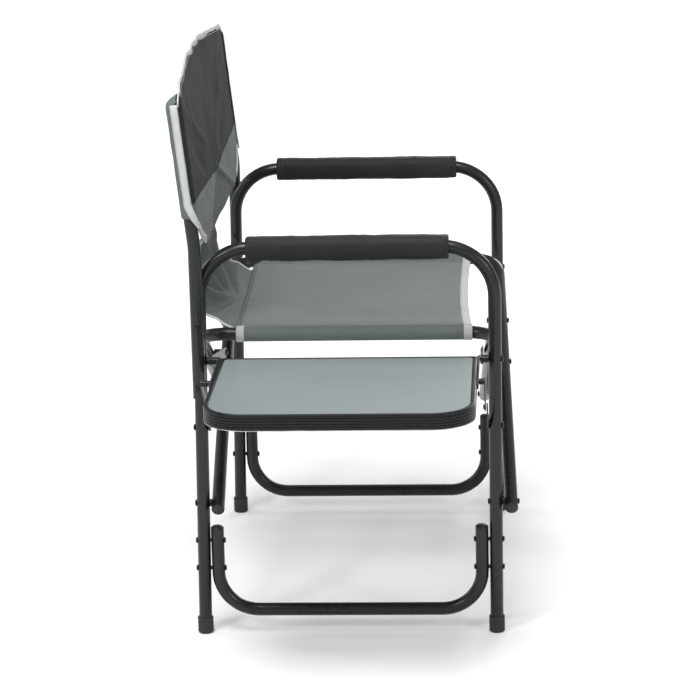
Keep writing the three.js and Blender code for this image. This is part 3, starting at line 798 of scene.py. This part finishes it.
def pad_seams(side, y):
    turns = [2 * math.pi * j / 60 for j in range(61)]
    runs = []
    for x in (PAD_BACK + 11, PAD_FRONT - 11):
        runs.append(([pad_round(x, y, a, 16.3, 17.0) for a in turns],
                     [Vector((0, math.cos(a), math.sin(a))) for a in turns]))
    run = [Vector((x, y * FRAME_Y, ARM_Z - 18.4)) for x in np.linspace(-130, 148, 40)]
    runs.append((run, [Vector((0, 0, -1))] * len(run)))
    obj = stitches(f"{side}_arm_pad_stitches", runs, BLACK_THREAD)
    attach(obj, f"{side}_frame")


# ---- Seat ----

SEAT_BACK, SEAT_FRONT = -163.0, 182.0
SEAT_SHEET_BACK = -173.5
SEAT_SKEW = 5  # the right end of the hem stands this much further forward than the middle, the left less
REAR_SKEW = 4.5
SEAT_DROP = 9.5  # from the top of a sleeve to the sheet beside it
SEAT_SAG = 7.5
SLEEVE_R = 11.3
REAR_DIP = 2.2
SEAM_Y = 216.0


def seat_sag(y):
    return SEAT_SAG * (1 - min(abs(y) / RAIL_Y, 1) ** 2)


def seat_section():
    """Points (y, z) and outward normals across the seat, from seam to seam round both rails."""
    half = [(-SEAM_Y, RAIL_Z - 1.5, 0.1, -1.0), (-SEAM_Y - 8, RAIL_Z - 6.0, 0.4, -0.9)]
    for i in range(16):
        a = math.radians(-62 - 272 * i / 15)
        c, s = math.cos(a), math.sin(a)
        half.append((-RAIL_Y + SLEEVE_R * c, RAIL_Z + SLEEVE_R * s, c, s))
    left = [(-y, z, -ny, nz) for y, z, ny, nz in reversed(half)]
    middle = [(y, seat_height(y), 0.0, 1.0) for y in np.linspace(-SEAM_Y - 5, SEAM_Y + 5, 70)]
    return half + middle + left


def seat_height(y):
    """The sheet leaves each rail's sleeve low on its inner side, and sags between them."""
    return RAIL_Z + SLEEVE_R - SEAT_DROP - seat_sag(y) + 3.0 * bell(abs(y) - SEAM_Y - 5, 6)


def seat_rear(y):
    return SEAT_SHEET_BACK - REAR_SKEW * y / RAIL_Y


def seat_end(y):
    return SEAT_FRONT - SEAT_SKEW * y / RAIL_Y


def seat_front(y):
    """The hem draws in a little between the rails, and stands further forward on the right."""
    return seat_end(y) - 5 * max(0.0, 1 - (abs(y) / SEAM_Y) ** 2)


def seat_hem(y, nz):
    return seat_front(y) if nz > 0.99 else seat_end(y)


def on_sheet(y, nz):
    return nz > 0.99 and abs(y) < SEAM_Y


def seat_point(y, z, ny, nz, x):
    """A point of the seat's surface, lifted by soft waves and drawn in along its seams."""
    lift = 0.0
    if abs(y) < SEAM_Y + 5 and nz > 0.99:
        calm = 1 - (abs(y) / RAIL_Y) ** 4
        lift = calm * (0.9 * wave(x / 70, y / 160, 1.7) + 0.5 * wave(x / 24, y / 90, 5.1))
        lift += calm * bell(x - seat_rear(y), 30) * 1.6 * wave(x / 30, y / 26, 8.2)
    seam = 0.7 * bell(abs(y) - SEAM_Y, 2.2) if nz > 0.99 else 0
    seam += REAR_DIP * bell(x - seat_rear(y), 4) if on_sheet(y, nz) else 0
    return Vector((x, y, z)) + Vector((0, ny, nz)) * (lift - seam)


def follow_seat(obj):
    """Bakes a seat piece's placement into its mesh. The seat's right rail is part of tube b and its left rail
    part of tube a, but the piece is attached to neither.
    """
    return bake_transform(obj)


def seat():
    section = seat_section()
    lengths = np.cumsum([0] + [math.hypot(b[0] - a[0], b[1] - a[1]) for a, b in zip(section, section[1:])])
    columns = 64
    vertices, uvs = [], []
    for (y, z, ny, nz), s in zip(section, lengths):
        for x in np.linspace(seat_rear(y) if on_sheet(y, nz) else SEAT_BACK, seat_hem(y, nz), columns):
            vertices.append(at(*seat_point(y, z, ny, nz, x)))
            uvs.append((x / 1000, s / 1000))
    faces = grid_faces(len(section), columns)
    # Faces on the rails' sleeves take the darker copy of the seat's grey, as painted shade.
    sleeve = [int(not on_sheet(section[f[0] // columns][0], section[f[0] // columns][3])) for f in faces]
    obj = make("seat_cloth", vertices, faces, [GREY_CLOTH, SEAT_SLEEVE_PAINTED_SHADE_CLOTH], uvs=uvs, face_materials=sleeve)
    soften(obj, 1.1)
    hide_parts("seat_fabric")
    follow_seat(obj)
    pieces = seat_bindings(section) + seat_stitches(section)


def strip(name, rows):
    """A band of cloth folded over an edge: rows of four or more corner points each, in millimetres."""
    vertices = [at(*p) for row in rows for p in row]
    uvs, run = [], 0.0
    for i, row in enumerate(rows):
        run += (row[0] - rows[i - 1][0]).length if i else 0
        across = 0.0
        for j, p in enumerate(row):
            across += (p - row[j - 1]).length if j else 0
            uvs.append((run / 1000, across / 1000))
    obj = make(name, vertices, shell_faces(len(rows), len(rows[0])), BINDING, uvs=uvs)
    recalculate(obj)
    return obj


def band_corners(point, normal, inward, width, half=1.0):
    """The folded section of a binding at an edge point: out over the cloth, round its edge and back."""
    n, w = normal * half, inward * width
    return [point + w + n * 0.75, point + w * 0.93 + n, point + w * 0.06 + n, point - inward * 0.7 + n * 0.5,
            point - inward * 0.7 - n * 0.5, point + w * 0.06 - n, point + w * 0.93 - n, point + w - n * 0.75]


def seat_bindings(section):
    hem = [band_corners(seat_point(y, z, ny, nz, seat_hem(y, nz)), Vector((0, ny, nz)), -X_AXIS, 12)
           for y, z, ny, nz in section]
    bands = [strip("seat_front_binding", hem)]
    for side, y_sign in SIDES:
        rows = [band_corners(Vector((SEAT_BACK, y, z)), Vector((0, ny, nz)), X_AXIS, 11)
                for y, z, ny, nz in section if y * y_sign > SEAM_Y - 1]
        bands.append(strip(f"seat_{side}_sleeve_binding", rows))
    return [follow_seat(band) for band in bands]


def seat_stitches(section):
    runs = []
    for y in (-SEAM_Y + 1.5, -SEAM_Y - 2.5, SEAM_Y - 1.5, SEAM_Y + 2.5):
        xs = np.linspace(SEAT_BACK + 2, seat_front(y) - 2, 50)
        runs.append([seat_point(y, seat_height(y), 0, 1, x) + UP * 0.4 for x in xs])
    flat = [(y, z) for y, z, _, nz in section if nz > 0.99]
    for x in (2.5, 6.5):
        runs.append([seat_point(y, z, 0, 1, seat_rear(y) + x) + UP * 0.5 for y, z in flat if abs(y) < SEAM_Y])
    dark = stitches("seat_seam_stitches", [(run, [UP] * len(run)) for run in runs], THREAD)
    hem = [seat_point(y, z, 0, 1, seat_front(y) - 10.5) + UP for y, z in flat]
    pale = stitches("seat_hem_stitches", [(hem, [UP] * len(hem))], PALE_THREAD)
    return [follow_seat(dark), follow_seat(pale)]


# ---- The cloth behind the seat ----

FLAP_LINE = [(-171.5, 449.0), (-176, 449.3), (-188, 452.5), (-202, 459), (-216, 469), (-228, 484),
             (-236, 502), (-239, 521), (-237, 541), (-230, 560), (-220, 577), (-209, 594)]
# Folds are (height, from u, v, to u, v, width) on the left half of a cloth, and are mirrored on its right.
FLAP_FOLDS = ((-9.0, 0.03, 0.20, 0.92, 0.66, 0.050), (9.0, 0.04, 0.17, 0.98, 0.42, 0.050),
              (-6.0, 0.10, 0.15, 0.99, 0.26, 0.040), (8.0, 0.02, 0.24, 0.55, 0.80, 0.055))


def flap_rows(line, steps):
    """Finer points along the flap's side view, on a smooth curve through the given ones."""
    points = [Vector((x, 0, z)) for x, z in line]
    rows = []
    for i in range(len(points) - 1):
        a, b = points[i], points[i + 1]
        ta = (b - points[max(i - 1, 0)]) / 2
        tb = (points[min(i + 2, len(points) - 1)] - a) / 2
        for k in range(steps):
            t = k / steps
            rows.append(a * (2 * t**3 - 3 * t**2 + 1) + ta * (t**3 - 2 * t**2 + t)
                        + b * (-2 * t**3 + 3 * t**2) + tb * (t**3 - t**2))
    rows.append(points[-1])
    return rows


FLAP_ROWS = flap_rows(FLAP_LINE, 5)


def flap_half(t):
    """Half the flap's width: it narrows behind the seat, and flares where it joins the back."""
    return 189 + 24 * bell(t, 0.06) + 5 * t + 52 * max(0.0, (t - 0.74) / 0.26) ** 1.6


def crease(u, v, ax, ay, bx, by, width):
    """A ridge along the line from a to b in the cloth's own (u, v)."""
    dx, dy = bx - ax, by - ay
    length = math.hypot(dx, dy)
    along = ((u - ax) * dx + (v - ay) * dy) / length**2
    away = abs((u - ax) * dy - (v - ay) * dx) / length
    return clamp(min(along + 0.1, 1.1 - along) * 5) * bell(away, width)


def folds(u, v, table):
    return sum(height * crease(side * u, v, *line) for side in (-1, 1) for height, *line in table)


def flap_normal(i):
    a = FLAP_ROWS[max(i - 1, 0)]
    b = FLAP_ROWS[min(i + 1, len(FLAP_ROWS) - 1)]
    run = (b - a).normalized()
    return Vector((run.z, 0, -run.x))


def flap_point(i, u):
    """A point of the flap: i along its side view, u from -1 on the right to 1 on the left."""
    t = i / (len(FLAP_ROWS) - 1)
    y = u * flap_half(t)
    fold = folds(u, t, FLAP_FOLDS) - 6.0 * crease(u, t, 0.0, 0.22, 0.06, 0.85, 0.06)
    fold += 2.6 * wave(u * 3.2, t * 4.5, 2.3) + 0.9 * wave(u * 9, t * 9, 6.3)
    fold += 2.2 * math.sin(t * 17 + (1.3 if u > 0 else 0)) * abs(u) ** 8
    rise = (seat_height(y) - REAR_DIP - 1.6 - FLAP_ROWS[0].z) * bell(t, 0.16)
    back = -REAR_SKEW * y / RAIL_Y * bell(t, 0.3)
    calm = math.sin(math.pi * clamp(t)) ** 0.7
    return FLAP_ROWS[i] + Vector((back, y, rise)) - flap_normal(i) * fold * calm


def squash_back(obj):
    """Attaches a piece of the cloth behind the seat to the right frame and gives it a mesh of its own."""
    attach(obj, "right_frame")
    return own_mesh(obj)


def flap():
    columns = 97
    us = np.linspace(-1, 1, columns)
    rows = range(len(FLAP_ROWS))
    vertices = [at(*flap_point(i, u)) for i in rows for u in us]
    run = [0.0]
    for before, after in zip(FLAP_ROWS, FLAP_ROWS[1:]):
        run.append(run[-1] + (after - before).length)
    halves = [flap_half(i / (len(FLAP_ROWS) - 1)) for i in rows]
    uvs = [(r / 1000, u * half / 1000) for half, r in zip(halves, run) for u in us]
    obj = make("back_flap_cloth", vertices, grid_faces(len(run), columns), FLAP_CLOTH, uvs=uvs)
    soften(obj, 1.1)
    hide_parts("seat_back_flap")
    squash_back(obj)
    for side, sign in SIDES:
        corners = [band_corners(flap_point(i, sign), flap_normal(i), Vector((0, -sign, 0)), 8) for i in rows]
        squash_back(strip(f"back_flap_{side}_binding", corners))


# ---- Back ----

BACK_HALF = 306.0
BACK_FOLDS = ((3.0, 0.97, 0.82, 0.20, 0.42, 0.040), (-2.6, 0.97, 0.70, 0.35, 0.28, 0.045),
              (2.2, 0.80, 0.97, 0.50, 0.55, 0.040), (-2.2, 0.98, 0.36, 0.45, 0.14, 0.050),
              (2.4, 0.98, 0.24, 0.55, 0.20, 0.035), (4.0, 0.02, 0.22, 0.66, -0.06, 0.026))
BACK_TOP = ((0, 854), (60, 854), (110, 853), (165, 848), (225, 842.5), (280, 839), (297, 834), (306, 829),
            (328, 819))
HEM_END_Y = 327
CORNER_Y = 190  # where the lower edge starts to rise towards a post
FORWARD = Vector((1, 0, POST_LEAN)).normalized()


def back_bottom(y):
    """The back's lower edge: level behind the flap, and rising in rounded corners to the posts."""
    t = (abs(y) - CORNER_Y) / (BACK_HALF - CORNER_Y)
    return 588 + 36 * t**3 if t > 0 else 590.0


def back_top(y):
    """The arched top edge, which drops at each post, with shallow waves in its hem."""
    arch = np.interp(abs(y), *zip(*BACK_TOP))
    return arch - 1.2 + 0.9 * math.sin(y / 34) + 0.2 * math.sin(y / 9.5 + 1)


def back_seam(y):
    """The line where the black cloth meets the grey."""
    return 653 + 13 * (abs(y) / BACK_HALF) ** 1.2


def post_line(z):
    """X of a post's centre line at height z, above its bend."""
    return POST_X - POST_LEAN * (z - POST_BEND_Z)


def back_point(y, z):
    """A point of the back's sheet: it leans with the posts, and hangs slack between them."""
    a = abs(y) / BACK_HALF
    slack = 1 - a**2
    up = (z - POST_BEND_Z) / 250
    x = post_line(z) + 9.5 - 8.0 * slack * clamp(up * 1.3)
    x += 5.0 * clamp(up) * max(0.0, y / BACK_HALF) * (1 - a**6)
    ripple = folds(y / BACK_HALF, up, BACK_FOLDS)
    ripple += 3.0 * wave(y / 110, z / 90, 3.1) + 0.5 * wave(y / 36, z / 34, 7.7)
    hem = max(0.0, (z - back_top(y) + 26) / 26)
    ripple += 2.0 * hem * math.sin(y / 17 + 2 * math.sin(y / 60)) * (0.4 + a)
    return Vector((x + ripple * (slack * 0.85 + 0.15) * min(1.0, (1.0 - a) * 9), y, z))


def back_grid(columns, low, high, rows):
    ys = np.linspace(-BACK_HALF, BACK_HALF, columns)
    return [[back_point(y, low(y) + (high(y) - low(y)) * i / (rows - 1)) for y in ys] for i in range(rows)]


def back_colour(p):
    """Black above the seam. Below it, grey lobes outside two creases that run down from its middle, and
    between the creases the same grey darkened as painted shade.
    """
    if p.z > back_seam(p.y):
        return 0
    return 1 if abs(p.y) > 20 + 185 * max(0.0, (655 - p.z) / 65) else 2


def back():
    columns = 121
    grid = back_grid(columns, back_bottom, back_seam, 21)[:-1] + back_grid(columns, back_seam, back_top, 45)
    spots = [p for row in grid for p in row]
    faces = grid_faces(len(grid), columns)
    obj = make("back_cloth", [at(*p) for p in spots], faces, [BLACK_CLOTH, LOBE_CLOTH, TAIL_PAINTED_SHADE_CLOTH],
               uvs=[(p.y / 1000, p.z / 1000) for p in spots],
               face_materials=[back_colour((spots[f[0]] + spots[f[2]]) / 2) for f in faces])
    soften(obj, 1.2)
    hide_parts("back_fabric")
    squash_back(obj)
    pieces = []
    for side, sign in SIDES:
        pieces += [back_sleeve(side, sign), *sleeve_binding(side, sign), corner_binding(side, sign)]
    top = [band_corners(top_hem(y), FORWARD, -UP, 9, 1.3) for y in np.linspace(-HEM_END_Y, HEM_END_Y, 200)]
    pieces.append(squash_back(strip("back_top_binding", top)))
    ys = np.linspace(-BACK_HALF, BACK_HALF, 181)
    seam = [back_point(y, back_seam(y) + 2.5) + FORWARD * 0.7 for y in ys]
    hem = [back_point(y, back_top(y) - 7) + FORWARD * 1.3 for y in ys]
    for name, run, thread in (("seam", seam, BLACK_THREAD), ("hem", hem, PALE_THREAD)):
        sewn = stitches(f"back_{name}_stitches", [(run, [FORWARD] * len(run))], thread)
        pieces.append(squash_back(sewn))


def top_hem(y):
    """The top edge, carried out over the closed ends of the sleeves."""
    z = back_top(y)
    return back_point(y, z) if abs(y) <= BACK_HALF else Vector((post_line(z) + 8.0, y, z))


def corner_binding(side, sign):
    rows = []
    for y in np.linspace(246, BACK_HALF + 3, 30):
        inner = min(y, BACK_HALF)
        slope = (back_bottom(inner + 1) - back_bottom(inner - 1)) / 2
        inward = Vector((0, -slope * sign, 1)).normalized()
        beyond = Vector((0, sign * (y - inner), (y - inner) * 0.9))
        point = back_point(sign * inner, back_bottom(inner)) + beyond
        rows.append(band_corners(point, FORWARD, inward, 12, 1.3))
    return squash_back(strip(f"back_{side}_corner_binding", rows))


def back_sleeve(side, sign):
    """The cloth round a post: black or grey in front, and grey outside and behind."""
    rows, around = 52, 40
    vertices, uvs, indices = [], [], []
    for i in range(rows):
        for j in range(around):
            a = 2 * math.pi * j / around
            spot, _ = round_post(sign, sleeve_height(a, i / (rows - 1)), a, 0, closing(i / (rows - 1)))
            vertices.append(at(*spot))
            uvs.append((a * 0.0116, sleeve_height(a, i / (rows - 1)) / 1000))
    faces = grid_faces(rows, around, wrap=True)
    for face in faces:
        i, j = divmod(face[0], around)
        a = 2 * math.pi * (j + 0.5) / around
        black = sleeve_height(a, i / (rows - 1)) > back_seam(BACK_HALF) - 2
        indices.append(1 if BOUND_AT < a < math.pi * 1.5 else 0 if black else 2)
    obj = make(f"{side}_back_sleeve", vertices, faces, [BLACK_CLOTH, SLEEVE_CLOTH, LOBE_CLOTH], uvs=uvs,
               face_materials=indices)
    recalculate(obj)
    soften(obj, 1.0)
    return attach(obj, f"{side}_frame")


def sleeve_height(a, t):
    """The sleeve's hems: the top one climbs from the outer side to the sheet, the lower one drops to it."""
    inward = (1 - math.sin(a)) / 2
    low = 645 - 21 * max(0.0, math.cos(a)) ** 1.5
    return low + (818 + 8 * inward - low) * t


def closing(t):
    """How far the sleeve's sides have come together under its top hem."""
    return max(0.0, (t - 0.93) / 0.07)


def round_post(sign, z, a, lift, close=0.0):
    """A point of the sleeve's surface at angle a from the front towards the outside, and its normal."""
    c, s = math.cos(a), math.sin(a)
    centre = Vector((post_line(z) + 6.5 * close**2, sign * POST_Y, z))
    normal = Vector((c, sign * s, c * POST_LEAN)).normalized()
    r = 11.6 + lift + 0.6 * wave(z / 24, c * 2, s * 2 + sign)
    thin = max(0.12, math.sqrt(max(0.0, 1 - close**2)))
    return centre + Vector((normal.x * r * thin, normal.y * r, normal.z * r)), normal


BOUND_AT = math.radians(86)


def sleeve_binding(side, sign):
    """The light tape sewn down the outside of a sleeve, which turns in below it to the sheet's lower hem."""
    rows = []
    for z in np.linspace(626, 812, 54):
        turn = max(0.0, (668 - z) / 42)
        middle = BOUND_AT - math.radians(88) * turn**1.6 + math.radians(2.5) * wave(z / 17, 0.3, sign)
        half = math.radians(27)
        angles = [middle - half + 2 * half * k / 7 for k in range(8)]
        outer = [round_post(sign, z, a, 1.5 - 0.7 * (k in (0, 7)))[0] for k, a in enumerate(angles)]
        inner = [round_post(sign, z, a, 0.3)[0] for a in reversed(angles)]
        rows.append(outer + inner)
    band = strip(f"{side}_back_sleeve_binding", rows)
    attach(band, f"{side}_frame")
    runs = []
    for edge in (-1, 1):
        a = BOUND_AT + edge * math.radians(20)
        spots = [round_post(sign, z, a, 1.5) for z in np.linspace(668, 808, 60)]
        runs.append(([p for p, _ in spots], [n for _, n in spots]))
    thread = stitches(f"{side}_back_sleeve_stitches", runs, PALE_THREAD, radius=0.35)
    return band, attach(thread, f"{side}_frame")


# ---- Stage ----


FLOOR_REACH = 14.0
WHITE = (1, 1, 1, 1)
LIGHTS = (
    ("top_light", (-0.2, -1.1, 2.7), 0.4, 1.3, 74),
    ("left_light", (-1.9, -2.6, 2.4), 0.5, 0.5, 30),
    ("right_light", (2.5, -2.3, 1.7), 0.4, 0.6, 20),
    ("rear_light", (1.0, 3.2, 1.3), 0.4, 1.3, 30),
    ("rear_left_light", (-2.6, 1.0, 1.6), 0.5, 0.8, 12),
)  # name, place, height aimed at over the origin, size, power


def stage():
    """A pale floor that glows more with distance, so that it meets the white behind it without an edge."""
    mesh = bpy.data.meshes.new("floor")
    r = FLOOR_REACH
    mesh.from_pydata([(-r, -r, 0), (r, -r, 0), (r, r, 0), (-r, r, 0)], [], [(0, 1, 2, 3)])
    floor = put("floor", mesh)
    ground = Nodes("pale_floor", (0.80, 0.80, 0.80), 0.7)
    ground.set("Specular IOR Level", 0.1)
    ground.set("Emission Color", WHITE)
    away = ground.add("ShaderNodeVectorMath", operation="LENGTH")
    ground.link(ground.coords(), away.inputs[0])
    fade = {"From Min": 0.5, "From Max": 3.2, "To Min": 0.12, "To Max": 0.62}
    glow = ground.add("ShaderNodeMapRange", **fade)
    ground.link(away.outputs["Value"], glow.inputs["Value"])
    ground.drive("Emission Strength", glow.outputs["Result"])
    mesh.materials.append(ground.material)
    world = bpy.data.worlds.new("studio")
    bpy.context.scene.world = world
    world.use_nodes = True
    background = world.node_tree.nodes["Background"]
    background.inputs["Color"].default_value = WHITE
    background.inputs["Strength"].default_value = 0.5
    for name, place, height, size, power in LIGHTS:
        light = bpy.data.lights.new(name, "AREA")
        light.shape = "SQUARE"
        light.size = size
        light.energy = power
        obj = put(name, light)
        obj.location = place
        obj.rotation_euler = (Vector((0, 0, height)) - Vector(place)).to_track_quat("-Z", "Y").to_euler()


CAMERA_AT = (259.4, -4482, 1543.3)
YAW, PITCH, ROLL = -0.0599, 0.2575, -0.024


def camera():
    data = bpy.data.cameras.new("camera")
    data.sensor_width = 36
    data.lens = 151.6
    data.clip_end = 100
    pose = Matrix.Translation(at(*CAMERA_AT))
    for angle, axis in ((-YAW, "Z"), (math.pi / 2 - PITCH, "X"), (ROLL, "Z")):
        pose = pose @ Matrix.Rotation(angle, 4, axis)
    obj = put("camera", data)
    obj.matrix_world = pose
    bpy.context.scene.camera = obj


camera()
stage()
side_frames()
crossed_tubes()
pins_and_links()
side_table()
arm_pads()
seat()
flap()
back()
bpy.context.scene.view_settings.view_transform = "Standard"
